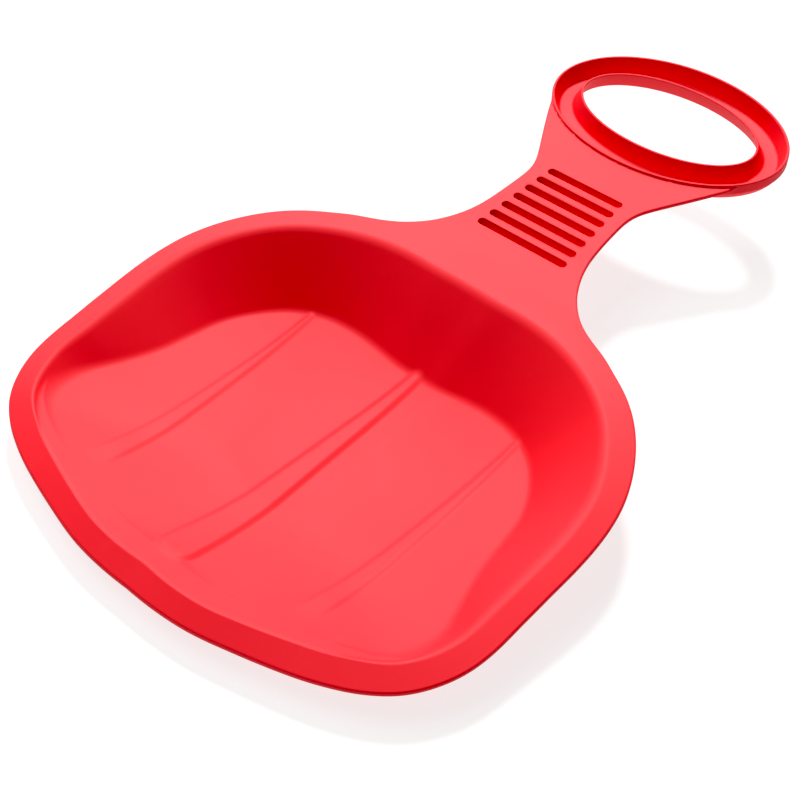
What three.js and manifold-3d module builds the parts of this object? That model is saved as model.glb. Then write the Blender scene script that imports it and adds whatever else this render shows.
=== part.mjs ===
import * as THREE from 'three';
import { mergeVertices } from 'three/addons/utils/BufferGeometryUtils.js';
import Module from 'manifold-3d';

const wasm = await Module();
wasm.setup();

// A snow slider pressed from one sheet of red plastic. Every length is in millimetres.
// The pan's middle is the origin while the part is built, with +Y toward the handle.

// Sheet
const wallThickness = 2.5;
const cutOverrun = 5;

// Pan outline, seen from above
const panWidth = 369;
const flangeWidth = 17.2;
const panRearReach = 131.5;
const panFrontReach = 143;
const wallTopHalfWidth = panWidth / 2 - flangeWidth;

// Height of the crest line, where the wall turns out into the flange, above the ground
const crestRearHeight = 24.5;
const crestQuarterHeight = 30.4;
const crestMiddleHeight = 38.1;
const crestFrontHeight = 54.4;
const crestNeckHeight = 54.6;
const crestWaistHeight = 62;
const crestRingHeight = 69.6;
const crestTipHeight = 74.5;
const flangeDroop = 4.4;

// Pan floor and wall
const floorFlatShare = 0.3;
const floorBlend = 17.5;

// Ridges on the floor, as wide as this at the rear end and narrower toward the front
const centreRidgeWidth = 31;
const centreRidgeFlank = 6;
const centreRidgeHeight = 1.8;
const sideRidgeWidth = 20;
const sideRidgeFlank = 5;
const sideRidgeHeight = 0.9;
const ridgeFade = 26;

// Neck plate
const neckRootY = 180;
const neckRootHalfWidth = 59.7;
const neckWaistY = 254;
const neckWaistHalfWidth = 41.2;

// Grip grooves across the neck
const grooveCount = 7;
const groovePitch = 11.08;
const grooveWidth = 5.5;
const grooveDepth = 9;
const grooveWall = 1.8;
const grooveFirstY = 199.2;
const grooveFirstHalfLength = 35.9;
const grooveShortening = 0.97;

// Grip ring
const ringCentreY = 359.7;
const ringHalfWidth = 90.2;
const ringHalfDepth = 59.6;
const openingHalfWidth = 67.6;
const openingHalfDepth = 35.5;
const ringRise = 1.8;
const ringDepth = 13.5;
const ringLipSkirt = 7;
const ringOuterLean = 4.4;
const ringInnerLean = 5.4;

// Shares chosen by hand. Radii are shares of the radius straight to the side,
// one for every ten degrees from straight back to straight ahead.
const wallTopShares = [
  0.785, 0.802, 0.826, 0.854, 0.903, 0.975, 1.044, 1.048, 1.011, 1,
  1.015, 1.033, 1.03, 1.013, 0.978, 0.937, 0.893, 0.854, 0.843,
];
// Width of the flange on the way round, as a share of its width at the sides.
const flangeWidthShares = [
  0.86, 0.81, 0.8, 0.82, 0.87, 0.91, 0.94, 0.98, 1, 1,
  1.02, 1.06, 1.1, 1.12, 1.09, 1.02, 0.96, 0.93, 0.91,
];
// Where the floor section ends and the wall section begins, as shares of the way out to the crest.
const wallFootShares = [
  0.95, 0.95, 0.95, 0.94, 0.92, 0.9, 0.86, 0.82, 0.8, 0.8,
  0.8, 0.8, 0.8, 0.8, 0.8, 0.8, 0.8, 0.8, 0.8,
];
// Share of the crest's height that the gently rising floor reaches by itself.
const floorRiseShares = [
  1, 1, 1, 1, 1, 0.967, 0.851, 0.677, 0.527, 0.44,
  0.391, 0.348, 0.313, 0.305, 0.324, 0.339, 0.33, 0.309, 0.288,
];
const floorPowerShares = [
  1.6, 1.51, 1.42, 1.39, 1.45, 1.51, 1.55, 1.56, 1.55, 1.52,
  1.49, 1.49, 1.48, 1.49, 1.59, 1.82, 2.12, 2.35, 2.53,
];
// Slope of the wall itself, rise over run.
const wallSlopeShares = [
  0.96, 1.07, 1.165, 1.205, 1.19, 1.115, 0.995, 0.885, 0.83, 0.809,
  0.83, 0.905, 0.99, 1.045, 1.045, 1.02, 1.025, 1.05, 1.075,
];
// Share of the full fillet between floor and wall: wide at the rear, tight at the sides and front.
const floorBlendShares = [
  1, 0.97, 0.93, 0.85, 0.74, 0.55, 0.34, 0.18, 0.11, 0.09,
  0.09, 0.09, 0.1, 0.12, 0.13, 0.13, 0.13, 0.13, 0.13,
];
// Share of the flange's droop that is left on the way round to the neck.
const droopShares = [
  1.46, 1.46, 1.44, 1.42, 1.38, 1.28, 1.1, 0.95, 0.87, 0.82,
  0.82, 0.8, 0.74, 0.62, 0.4, 0.2, 0.05, 0, 0,
];
// Where the crest's quarter height is taken, as a share of the way from the pan's middle to its rear.
const crestQuarterShare = 0.456;
// Where a ridge lies: shares of the way out to the crest at the side, at the rear and in front.
const centreRidgeShares = [0, 0.92, 0.755];
const sideRidgeShares = [0.52, 0.76, 0.664];
// How wide a ridge is at the pan's middle and at its front end, as shares of its width at the rear.
const ridgeTaperShares = [0.67, 0.41];
// The sweep from the flange into the neck: shares of the way along it, across in x and on in y.
const sweepShares = [
  [0, 0, 0], [0.25, 0.17, 0.155], [0.5, 0.471, 0.348], [0.75, 0.748, 0.598], [1, 1, 1],
];
// The neck's side from its root to its waist: shares of the length, and of the narrowing.
const neckSideShares = [
  [0, 0], [0.095, 0.234], [0.203, 0.469], [0.338, 0.677], [0.473, 0.807],
  [0.608, 0.88], [0.743, 0.932], [0.878, 0.969], [1, 1],
];
// The neck's flare from its waist to the ring: shares of the length, and of the widening.
const flareShares = [
  [0, 0], [0.122, 0.027], [0.233, 0.14], [0.343, 0.268],
  [0.454, 0.403], [0.6, 0.575], [0.8, 0.8], [1, 1],
];

// Stations round the pan are counted from straight back, and round the ring from its near end.
const quarterStations = 18;
const ringStations = 48;
const neckRowCount = 15;
// Where the sweep starts and the neck's root corner lies, as shares of the way round half the pan.
const sweepStartShare = 0.78;
const neckCornerShare = 0.89;
const sweepStart = Math.round(2 * quarterStations * sweepStartShare);
const neckCorner = Math.round(2 * quarterStations * neckCornerShare);
// Where the neck's side meets the ring, as a share of the way round half the ring.
const neckJoinShare = 0.42;
const neckJoin = Math.round((ringStations / 2) * neckJoinShare);

function tableValue(table, angle) {
  const place = (angle / Math.PI + 0.5) * (table.length - 1);
  const index = Math.min(Math.max(Math.floor(place), 0), table.length - 2);
  const t = place - index;
  const before = table[Math.max(index - 1, 0)];
  const start = table[index];
  const end = table[index + 1];
  const after = table[Math.min(index + 2, table.length - 1)];
  const startTangent = (end - before) / 2;
  const endTangent = (after - start) / 2;
  return hermite(start, end, startTangent, endTangent, t);
}

function hermite(start, end, startTangent, endTangent, t) {
  const t2 = t * t;
  const t3 = t2 * t;
  return (2 * t3 - 3 * t2 + 1) * start + (t3 - 2 * t2 + t) * startTangent
    + (3 * t2 - 2 * t3) * end + (t3 - t2) * endTangent;
}

// A smooth height along Y through stations of [y, height].
function profileHeight(points, y) {
  const last = points.length - 2;
  let index = 0;
  while (index < last && y > points[index + 1][0]) index += 1;
  const slope = (i) => (points[i + 1][1] - points[i][1]) / (points[i + 1][0] - points[i][0]);
  const span = points[index + 1][0] - points[index][0];
  const here = slope(index);
  const before = index > 0 ? (slope(index - 1) + here) / 2 : here;
  const after = index < last ? (slope(index + 1) + here) / 2 : here;
  const t = (y - points[index][0]) / span;
  if (t < 0) return points[index][1] + before * (y - points[index][0]);
  if (t > 1) return points[index + 1][1] + after * (y - points[index + 1][0]);
  return hermite(points[index][1], points[index + 1][1], before * span, after * span, t);
}

const crestLine = [
  [-panRearReach, crestRearHeight], [-crestQuarterShare * panRearReach, crestQuarterHeight],
  [0, crestMiddleHeight], [panFrontReach, crestFrontHeight], [neckRootY, crestNeckHeight],
  [neckWaistY, crestWaistHeight], [ringCentreY, crestRingHeight],
  [ringCentreY + ringHalfDepth, crestTipHeight],
];

function crestHeight(y) {
  return profileHeight(crestLine, y);
}

function reachScale(forward) {
  const lastShare = forward ? wallTopShares[wallTopShares.length - 1] : wallTopShares[0];
  return (forward ? panFrontReach : panRearReach) / lastShare;
}

// The closed curve where the wall's top turns into the flange.
function wallTopPoint(angle) {
  const folded = Math.asin(Math.sin(angle));
  const share = tableValue(wallTopShares, folded);
  const x = wallTopHalfWidth * share * Math.cos(angle);
  const y = reachScale(Math.sin(angle) > 0) * share * Math.sin(angle);
  return new THREE.Vector2(x, y);
}

// Polar place of a point in the pan: angle folded to one side, and share of the way to the crest.
function panPlace(x, y) {
  const across = Math.abs(x) / wallTopHalfWidth;
  const along = y / reachScale(y > 0);
  const angle = Math.atan2(along, across);
  const radius = Math.hypot(across, along);
  return { angle, share: radius / tableValue(wallTopShares, angle) };
}

// The larger of two heights, with the corner between them rounded over the blend.
function smoothMax(a, b, blend) {
  const overlap = Math.max(blend - Math.abs(a - b), 0);
  return Math.max(a, b) + (blend > 0 ? overlap ** 2 / (4 * blend) : 0);
}

// Height of the pan's upper face, with an extra lift on the floor for a ridge.
function panHeight(x, y, lift = 0) {
  const { angle, share } = panPlace(x, y);
  const top = wallTopPoint(angle);
  const crest = crestHeight(top.y);
  const depth = crest - wallThickness;
  const rising = Math.max(share - floorFlatShare, 0) / (1 - floorFlatShare);
  const rise = tableValue(floorRiseShares, angle) * rising ** tableValue(floorPowerShares, angle);
  const floor = wallThickness + depth * rise + lift;
  const inward = (1 - share) * top.length();
  const wall = crest - tableValue(wallSlopeShares, angle) * inward;
  const blend = floorBlend * tableValue(floorBlendShares, angle);
  return smoothMax(floor, wall, Math.max(Math.min(blend, inward), 0));
}

// Thickness measured straight down, so that the sheet keeps its thickness on a slope.
function sheetDrop(heightAt, x, y) {
  const probe = wallThickness / 5;
  const slopeX = (heightAt(x + probe, y) - heightAt(x - probe, y)) / (2 * probe);
  const slopeY = (heightAt(x, y + probe) - heightAt(x, y - probe)) / (2 * probe);
  return wallThickness * Math.hypot(1, slopeX, slopeY);
}

function panVertex(x, y) {
  const top = panHeight(x, y);
  return { x, y, top, bottom: Math.max(top - sheetDrop(panHeight, x, y), 0) };
}

function lerp(start, end, share) {
  return start + (end - start) * share;
}

// Piecewise straight value in one column of rows that start with a place.
function shareValue(rows, place, column = 1) {
  let index = 0;
  while (index < rows.length - 2 && place > rows[index + 1][0]) index += 1;
  const start = rows[index];
  const end = rows[index + 1];
  return lerp(start[column], end[column], (place - start[0]) / (end[0] - start[0]));
}

function plateVertex(x, y, sink = 0) {
  const top = crestHeight(y) - sink;
  return { x, y, top, bottom: top - wallThickness };
}

// A closed solid from rows of vertices that each have a top and a bottom height.
function solidFromRows(rows, { closedRound = false, centre = null } = {}) {
  const positions = [];
  const faces = [];
  const keys = rows.map((row) => row.map((v) => {
    const key = positions.length / 3;
    positions.push(v.x, v.y, v.top, v.x, v.y, v.bottom);
    return key;
  }));
  const quad = (a, b, c, d) => faces.push(a, b, c, a, c, d);
  const across = rows[0].length - (closedRound ? 0 : 1);
  const column = (row, j) => row[j % row.length];
  for (let i = 0; i < rows.length - 1; i += 1) {
    for (let j = 0; j < across; j += 1) {
      const a = column(keys[i], j);
      const b = column(keys[i], j + 1);
      const c = column(keys[i + 1], j + 1);
      const d = column(keys[i + 1], j);
      quad(a, b, c, d);
      quad(d + 1, c + 1, b + 1, a + 1);
    }
  }
  const wallAlong = (a, b) => quad(a, a + 1, b + 1, b);
  for (let j = 0; j < across; j += 1) {
    const first = keys[0];
    const last = keys[rows.length - 1];
    if (centre === null) wallAlong(column(first, j), column(first, j + 1));
    wallAlong(column(last, j + 1), column(last, j));
  }
  if (!closedRound) {
    for (let i = 0; i < rows.length - 1; i += 1) {
      wallAlong(keys[i + 1][0], keys[i][0]);
      wallAlong(keys[i][across], keys[i + 1][across]);
    }
  }
  if (centre !== null) {
    const hub = positions.length / 3;
    positions.push(centre.x, centre.y, centre.top, centre.x, centre.y, centre.bottom);
    for (let j = 0; j < across; j += 1) {
      const a = column(keys[0], j);
      const b = column(keys[0], j + 1);
      faces.push(hub, b, a, hub + 1, a + 1, b + 1);
    }
  }
  return outwardGeometry(positions, faces);
}

function outwardGeometry(positions, faces) {
  let volume = 0;
  const corner = (key) => new THREE.Vector3().fromArray(positions, key * 3);
  for (let i = 0; i < faces.length; i += 3) {
    volume += corner(faces[i]).dot(corner(faces[i + 1]).cross(corner(faces[i + 2])));
  }
  const order = volume < 0 ? faces.slice().reverse() : faces;
  const geometry = new THREE.BufferGeometry();
  geometry.setAttribute('position', new THREE.Float32BufferAttribute(positions, 3));
  geometry.setIndex(order);
  return geometry;
}

function toSolid(geometry) {
  const plain = new THREE.BufferGeometry();
  plain.setAttribute('position', geometry.getAttribute('position'));
  if (geometry.index) plain.setIndex(geometry.index);
  const merged = mergeVertices(plain);
  return new wasm.Manifold(new wasm.Mesh({
    numProp: 3,
    vertProperties: new Float32Array(merged.getAttribute('position').array),
    triVerts: new Uint32Array(merged.index.array),
  }));
}

function toGeometry(solid) {
  const mesh = solid.getMesh();
  const geometry = new THREE.BufferGeometry();
  geometry.setAttribute('position', new THREE.Float32BufferAttribute(mesh.vertProperties, 3));
  geometry.setIndex(new THREE.Uint32BufferAttribute(mesh.triVerts, 1));
  return geometry;
}

// Angles of the stations round the pan, from straight back, round the right side and back again.
function panAngles() {
  const angles = [];
  for (let i = 0; i < 4 * quarterStations; i += 1) {
    angles.push(-Math.PI / 2 + (Math.PI / 2) * (i / quarterStations));
  }
  return angles;
}

// A ring of vertices: outShare runs from the pan's middle to the wall's foot, climb from there to the crest.
function panRow(outShare, climb = 0) {
  return panAngles().map((angle) => {
    const top = wallTopPoint(angle);
    const foot = tableValue(wallFootShares, Math.asin(Math.sin(angle)));
    const share = lerp(foot * outShare, 1, climb);
    return panVertex(top.x * share, top.y * share);
  });
}

function cutRidges(geometry) {
  let solid = toSolid(geometry);
  for (const ridge of ridges()) {
    const half = (y) => ridgeHalfWidth(ridge, y);
    const shape = new THREE.Shape();
    shape.moveTo(ridge.x - half(ridge.rear), ridge.rear);
    shape.lineTo(ridge.x + half(ridge.rear), ridge.rear);
    shape.lineTo(ridge.x + half(0), 0);
    shape.lineTo(ridge.x + half(ridge.front), ridge.front);
    shape.lineTo(ridge.x - half(ridge.front), ridge.front);
    shape.lineTo(ridge.x - half(0), 0);
    const prism = new THREE.ExtrudeGeometry(shape, { depth: 2 * crestTipHeight, bevelEnabled: false });
    prism.translate(0, 0, -crestTipHeight);
    solid = solid.subtract(toSolid(prism));
  }
  return toGeometry(solid);
}

function seatFloor() {
  const outShares = [0.14, 0.36, 0.5, 0.62, 0.74, 0.86, 0.93, 1];
  const rows = outShares.map((share) => panRow(share));
  return cutRidges(solidFromRows(rows, { closedRound: true, centre: panVertex(0, 0) }));
}

function panWall() {
  const climbShares = [0, 0.15, 0.35, 0.6, 0.85, 1];
  const rows = climbShares.map((climb) => panRow(1, climb));
  return cutRidges(solidFromRows(rows, { closedRound: true }));
}

function ridges() {
  const centre = { width: centreRidgeWidth, flank: centreRidgeFlank, height: centreRidgeHeight };
  const side = { width: sideRidgeWidth, flank: sideRidgeFlank, height: sideRidgeHeight };
  const placed = (name, ridge, [sideShare, rearShare, frontShare], hand) => ({
    ...ridge,
    name,
    x: hand * sideShare * wallTopHalfWidth,
    rear: -rearShare * panRearReach,
    front: frontShare * panFrontReach,
  });
  return [
    placed('ridge_left', side, sideRidgeShares, -1),
    placed('ridge_centre', centre, centreRidgeShares, 1),
    placed('ridge_right', side, sideRidgeShares, 1),
  ];
}

function ridgeHalfWidth(ridge, y) {
  const [middle, front] = ridgeTaperShares;
  const share = y < 0 ? lerp(middle, 1, y / ridge.rear) : lerp(middle, front, y / ridge.front);
  return (ridge.width / 2) * share;
}

// Lift of a ridge over the floor: a flat top, sloping flanks, fading out at the rear.
function ridgeLift(ridge, x, y) {
  const flank = (ridgeHalfWidth(ridge, y) - Math.abs(x - ridge.x)) / ridge.flank;
  const fade = (y - ridge.rear) / ridgeFade;
  const smooth = (t) => THREE.MathUtils.smoothstep(t, 0, 1);
  return ridge.height * smooth(flank) * smooth(fade);
}

function ridgeGeometry(ridge) {
  const sideShares = [-1, -0.8, -0.6, -0.35, 0, 0.35, 0.6, 0.8, 1];
  const rearShares = [1, 0.92, 0.84, 0.76, 0.62, 0.42, 0.2];
  const frontShares = [0, 0.25, 0.5, 0.7, 0.82, 0.9, 0.95, 1];
  const places = [...rearShares.map((share) => share * ridge.rear), ...frontShares.map((share) => share * ridge.front)];
  const heightAt = (x, y) => panHeight(x, y, ridgeLift(ridge, x, y));
  const rows = places.map((y) => sideShares.map((side) => {
    const x = ridge.x + side * ridgeHalfWidth(ridge, y);
    const top = heightAt(x, y);
    return { x, y, top, bottom: Math.max(top - sheetDrop(heightAt, x, y), 0) };
  }));
  return solidFromRows(rows);
}

// A point of the flange's outer edge, square out from the crest.
function offsetPoint(angle) {
  const turn = Math.PI / 2 / quarterStations;
  const along = wallTopPoint(angle + turn).sub(wallTopPoint(angle - turn)).normalize();
  const width = flangeWidth * tableValue(flangeWidthShares, angle);
  return wallTopPoint(angle).add(new THREE.Vector2(along.y, -along.x).multiplyScalar(width));
}

// The flange's outer edge at a station of the right half, counted from straight back.
function flangeEdge(station) {
  const angle = (place) => -Math.PI / 2 + (Math.PI / 2) * (place / quarterStations);
  if (station <= sweepStart) return offsetPoint(angle(station));
  if (station < neckCorner) {
    const start = offsetPoint(angle(sweepStart));
    const way = (station - sweepStart) / (neckCorner - sweepStart);
    const x = lerp(start.x, neckRootHalfWidth, shareValue(sweepShares, way, 1));
    const y = lerp(start.y, neckRootY, shareValue(sweepShares, way, 2));
    return new THREE.Vector2(x, y);
  }
  const left = (2 * quarterStations - station) / (2 * quarterStations - neckCorner);
  return new THREE.Vector2(neckRootHalfWidth * left, neckRootY);
}

function flangeRow(share) {
  return panAngles().map((angle, i) => {
    const half = 2 * quarterStations;
    const station = i <= half ? i : 2 * half - i;
    const edge = flangeEdge(station);
    const inner = wallTopPoint(angle);
    const x = lerp(inner.x, i <= half ? edge.x : -edge.x, share);
    const y = lerp(inner.y, edge.y, share);
    const folded = Math.asin(Math.sin(angle));
    return plateVertex(x, y, flangeDroop * share * tableValue(droopShares, folded));
  });
}

function rimFlange() {
  const edgeShares = [0, 0.5, 1];
  return solidFromRows(edgeShares.map(flangeRow), { closedRound: true });
}

// Angle of a ring station, counted from the near end.
function ringAngle(station) {
  return -Math.PI / 2 + 2 * Math.PI * (station / ringStations);
}

function ringPoint(angle, halfWidth, halfDepth) {
  return new THREE.Vector2(halfWidth * Math.cos(angle), ringCentreY + halfDepth * Math.sin(angle));
}

function neckHalfWidth(y, joinPoint) {
  if (y < neckWaistY) {
    const along = (y - neckRootY) / (neckWaistY - neckRootY);
    return lerp(neckRootHalfWidth, neckWaistHalfWidth, shareValue(neckSideShares, along));
  }
  const along = (y - neckWaistY) / (joinPoint.y - neckWaistY);
  return lerp(neckWaistHalfWidth, joinPoint.x, shareValue(flareShares, along));
}

// The neck plate's rows run from its root to the ring's outer face.
function neckPlate() {
  const columns = 2 * neckJoin;
  const join = ringPoint(ringAngle(neckJoin), ringHalfWidth, ringHalfDepth);
  const rows = [];
  for (let i = 0; i <= neckRowCount; i += 1) {
    const along = i / neckRowCount;
    const sideY = lerp(neckRootY, join.y, along);
    const halfWidth = neckHalfWidth(sideY, join);
    const row = [];
    for (let j = 0; j <= columns; j += 1) {
      const end = ringPoint(ringAngle(j - neckJoin), ringHalfWidth, ringHalfDepth);
      const acrossEnd = end.x / join.x;
      const acrossRoot = lerp(-1, 1, j / columns);
      const across = lerp(acrossRoot, acrossEnd, along);
      row.push(plateVertex(halfWidth * across, lerp(neckRootY, end.y, along)));
    }
    rows.push(row);
  }
  return solidFromRows(rows);
}

function slotSolid(halfLength, width, bottom, top, y) {
  const shape = new THREE.Shape();
  const radius = width / 2;
  const straight = halfLength - radius;
  shape.moveTo(-straight, -radius);
  shape.lineTo(straight, -radius);
  shape.absarc(straight, 0, radius, -Math.PI / 2, Math.PI / 2, false);
  shape.lineTo(-straight, radius);
  shape.absarc(-straight, 0, radius, Math.PI / 2, -Math.PI / 2, false);
  const geometry = new THREE.ExtrudeGeometry(shape, {
    depth: top - bottom, bevelEnabled: false, curveSegments: 5,
  });
  geometry.translate(0, y, bottom);
  return toSolid(geometry);
}

function handleNeck() {
  let solid = toSolid(neckPlate());
  const grooves = [];
  for (let i = 0; i < grooveCount; i += 1) {
    const y = grooveFirstY + groovePitch * i;
    const halfLength = grooveFirstHalfLength - grooveShortening * i;
    const face = crestHeight(y);
    const floor = face - grooveDepth;
    solid = solid.add(slotSolid(
      halfLength + grooveWall, grooveWidth + 2 * grooveWall, floor - grooveWall, face - wallThickness / 2, y,
    ));
    grooves.push(slotSolid(halfLength, grooveWidth, floor, face + cutOverrun, y));
  }
  for (const groove of grooves) solid = solid.subtract(groove);
  return toGeometry(solid);
}

// Section of the ring: distance inward from the outer edge, and depth below the rim.
function ringSection(width) {
  const floorDepth = ringDepth - wallThickness;
  const lip = wallThickness;
  return [
    [0, 0], [lip, 0], [lip + ringOuterLean, floorDepth],
    [width - lip - ringInnerLean, floorDepth], [width - lip, 0], [width, 0],
    [width - ringInnerLean, ringDepth], [ringOuterLean, ringDepth], [0, ringLipSkirt],
  ];
}

function gripRing() {
  const positions = [];
  const faces = [];
  const count = ringSection(0).length;
  for (let i = 0; i < ringStations; i += 1) {
    const outer = ringPoint(ringAngle(i), ringHalfWidth, ringHalfDepth);
    const inner = ringPoint(ringAngle(i), openingHalfWidth, openingHalfDepth);
    const width = outer.distanceTo(inner);
    ringSection(width).forEach(([inward, depth], j) => {
      const point = outer.clone().lerp(inner, inward / width);
      positions.push(point.x, point.y, crestHeight(point.y) + ringRise - depth);
      const a = i * count + j;
      const b = i * count + ((j + 1) % count);
      const c = ((i + 1) % ringStations) * count + ((j + 1) % count);
      const d = ((i + 1) % ringStations) * count + j;
      faces.push(a, b, c, a, c, d);
    });
  }
  return outwardGeometry(positions, faces);
}

function plastic() {
  return new THREE.MeshStandardMaterial({ color: 0xe0121c, roughness: 0.42, metalness: 0 });
}

const slider = new THREE.Group();
const overallRear = -panRearReach - flangeWidth * flangeWidthShares[0];
const overallFront = ringCentreY + ringHalfDepth;
slider.position.set(0, -(overallRear + overallFront) / 2, 0);

function addSection(name, geometry) {
  const mesh = new THREE.Mesh(geometry, plastic());
  mesh.name = name;
  slider.add(mesh);
}

addSection('seat_floor', seatFloor());
for (const ridge of ridges()) addSection(ridge.name, ridgeGeometry(ridge));
addSection('pan_wall', panWall());
addSection('rim_flange', rimFlange());
addSection('handle_neck', handleNeck());
addSection('grip_ring', gripRing());

export default slider;
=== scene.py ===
import bpy
import math

import numpy as np
from mathutils import Matrix, Vector
from mathutils.geometry import delaunay_2d_cdt


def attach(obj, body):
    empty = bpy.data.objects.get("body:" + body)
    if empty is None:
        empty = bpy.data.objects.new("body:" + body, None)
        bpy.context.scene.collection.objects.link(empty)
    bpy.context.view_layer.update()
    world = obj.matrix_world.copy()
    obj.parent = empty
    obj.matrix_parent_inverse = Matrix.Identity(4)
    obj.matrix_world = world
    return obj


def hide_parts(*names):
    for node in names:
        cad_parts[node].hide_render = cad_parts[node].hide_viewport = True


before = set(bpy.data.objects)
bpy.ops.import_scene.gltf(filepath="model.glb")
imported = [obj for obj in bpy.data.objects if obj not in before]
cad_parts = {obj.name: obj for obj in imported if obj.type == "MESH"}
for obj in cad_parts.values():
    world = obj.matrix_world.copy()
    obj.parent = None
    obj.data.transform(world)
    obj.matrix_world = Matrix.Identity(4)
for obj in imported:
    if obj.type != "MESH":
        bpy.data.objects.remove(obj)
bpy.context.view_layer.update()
print("frame loaded:", len(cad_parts), "nodes")

scene = bpy.context.scene
scene.view_settings.view_transform = "Standard"
scene.view_settings.look = "None"
# a little contrast, as a catalogue print has
scene.view_settings.use_curve_mapping = True
scene.view_settings.curve_mapping.black_level = (0.02, 0.02, 0.02)
scene.view_settings.curve_mapping.update()

# Lengths are in millimetres and the pan's middle is the origin until a mesh is written,
# the same as in the part's source. +Y runs toward the grip. One formula gives the height
# of the whole sheet, so the sizes of its sections stand together here.

sheet = {
    "thickness": 2.5, "topRound": 1.2, "underRound": 0.6, "roundSteps": 5, "underSteps": 3,
    "slopeStep": 0.12,
    # the upright part of the normal counts as no less than this, under the sheet and at its rim
    "leastUp": 0.6, "rimLeastUp": 0.8, "rimMostSlope": 0.5,
}

pan = {
    "crestHalfWidth": 167.3,
    "rearReach": 131.5,
    "frontReach": 143.0,
    "flatShare": 0.3,
    "footFillet": 17.5,
    "crestFillet": 4.6,
    "stations": 360,
    # every ten degrees from straight back to straight ahead; most of these tables were first
    # found by a least-squares fit to the photograph, and some were changed after it
    "crest": [0.785, 0.802, 0.826, 0.854, 0.903, 0.975, 1.044, 1.048, 1.011, 1,
              1.015, 1.033, 1.03, 1.013, 0.978, 0.937, 0.893, 0.854, 0.843],
    "sectionFoot": [0.95, 0.95, 0.95, 0.94, 0.92, 0.9, 0.86, 0.82, 0.8, 0.8,
                    0.8, 0.8, 0.8, 0.8, 0.8, 0.8, 0.8, 0.8, 0.8],
    "floorRise": [1, 1, 1, 1, 1, 0.967, 0.851, 0.677, 0.527, 0.44,
                  0.391, 0.348, 0.313, 0.305, 0.324, 0.339, 0.33, 0.309, 0.288],
    "floorPower": [1.6, 1.51, 1.42, 1.39, 1.45, 1.51, 1.55, 1.56, 1.55, 1.52,
                   1.49, 1.49, 1.48, 1.49, 1.59, 1.82, 2.12, 2.35, 2.53],
    "wallSlope": [0.96, 1.07, 1.165, 1.205, 1.19, 1.115, 0.995, 0.885, 0.83, 0.809,
                  0.83, 0.905, 0.99, 1.045, 1.045, 1.02, 1.025, 1.05, 1.075],
    "filletShare": [1, 0.97, 0.93, 0.85, 0.74, 0.55, 0.34, 0.18, 0.11, 0.09,
                    0.09, 0.09, 0.1, 0.12, 0.13, 0.13, 0.13, 0.13, 0.13],
    # how much of the crest's rounding is left: sharp at the rear, soft at the sides
    "crestShare": [0.35, 0.35, 0.35, 0.35, 0.36, 0.4, 0.52, 0.72, 0.92, 1,
                   1, 0.95, 0.86, 0.8, 0.78, 0.78, 0.78, 0.78, 0.78],
}

flange = {
    "width": 17.2,
    "droop": 4.4,
    "widthShare": [0.86, 0.81, 0.8, 0.82, 0.87, 0.91, 0.94, 0.98, 1, 1,
                   1.02, 1.06, 1.1, 1.12, 1.09, 1.02, 0.96, 0.93, 0.91],
    "droopShare": [1.46, 1.46, 1.44, 1.42, 1.38, 1.28, 1.1, 0.95, 0.87, 0.82,
                   0.82, 0.8, 0.74, 0.62, 0.4, 0.2, 0.05, 0, 0],
    "edgeStep": 2.6, "edgeStations": 141, "edgeKept": 5, "softening": 10, "edgeTurn": 2.0,
    # rows of points outside the crest, and the grid under the sweep: x, y and step
    "rowTurn": 1.0, "rowDistances": [0.4, 0.8, 1.3, 2.0, 3.0, 4.5, 7.0, 10.0],
    "grid": (-110, 110, 95, 179, 6.0),
    # how the rim sweeps into the neck: across in x and on in y
    "sweepStart": 50.0,
    "sweep": [[0.17, 0.155], [0.471, 0.348], [0.748, 0.598]],
}

# widths are at the rear end, at the pan's middle and at the front end
sideRidge = {"rear": -100.0, "front": 95.0, "widths": [20.0, 13.4, 8.2],
             "flank": 5.0, "height": 0.9, "fade": 26.0}
ridges = [
    {"name": "ridge_left", "x": -87.0, **sideRidge},
    {"name": "ridge_centre", "x": 0.0, "rear": -121.0, "front": 108.0,
     "widths": [31.0, 20.8, 12.7], "flank": 6.0, "height": 1.8, "fade": 12.0},
    {"name": "ridge_right", "x": 87.0, **sideRidge},
]

neck = {
    "rootY": 180.0,
    "rootHalfWidth": 59.7,
    "waistY": 254.0,
    "waistHalfWidth": 41.2,
    "footFillet": 1.0, "rootStations": 43,
    # the end inside the ring, rows of points along it, and the grid: x, y and step
    "endInset": 1.3, "endStations": 70, "endReach": 1.0, "rowStations": 90, "rowEnd": 0.1,
    "rowDistances": [-0.5, 0.0, 0.15, 0.35, 0.6, 0.85, 1.1, 2.0, 4.0],
    "grid": (-85, 85, 182, 350, 4.5),
    # shares of the length from root to waist and of the narrowing, taken from half-widths
    # that were measured every ten millimetres along the photograph's outline
    "side": [[0.095, 0.234], [0.203, 0.469], [0.338, 0.677], [0.473, 0.807],
             [0.608, 0.88], [0.743, 0.932], [0.878, 0.969], [1, 1]],
    # and from the waist to the ring
    "flare": [[0.14, 0.032], [0.268, 0.164], [0.394, 0.314],
              [0.522, 0.472], [0.689, 0.673], [0.919, 0.937], [1, 1]],
}

ring = {
    "centreY": 359.7, "halfWidth": 90.2, "halfDepth": 59.6,
    "openingHalfWidth": 67.6, "openingHalfDepth": 35.5,
    "rise": 1.8, "depth": 13.5, "lip": 1.8, "skirt": 7.0,
    "outerLean": 4.4, "innerLean": 5.4, "fillet": 1.6, "stations": 260,
    "joinAngle": -27.0, "joinDepth": 1.2,
    "lipRoundShare": 0.47, "innerRound": 3.0, "outerRound": 4.0, "skirtRound": 2.0, "cornerSteps": 6,
    # near the ring's own width, for the angles where its section turns
    "sectionWidth": 22.0, "fitFrom": 300, "fitTo": 420,
}

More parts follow.
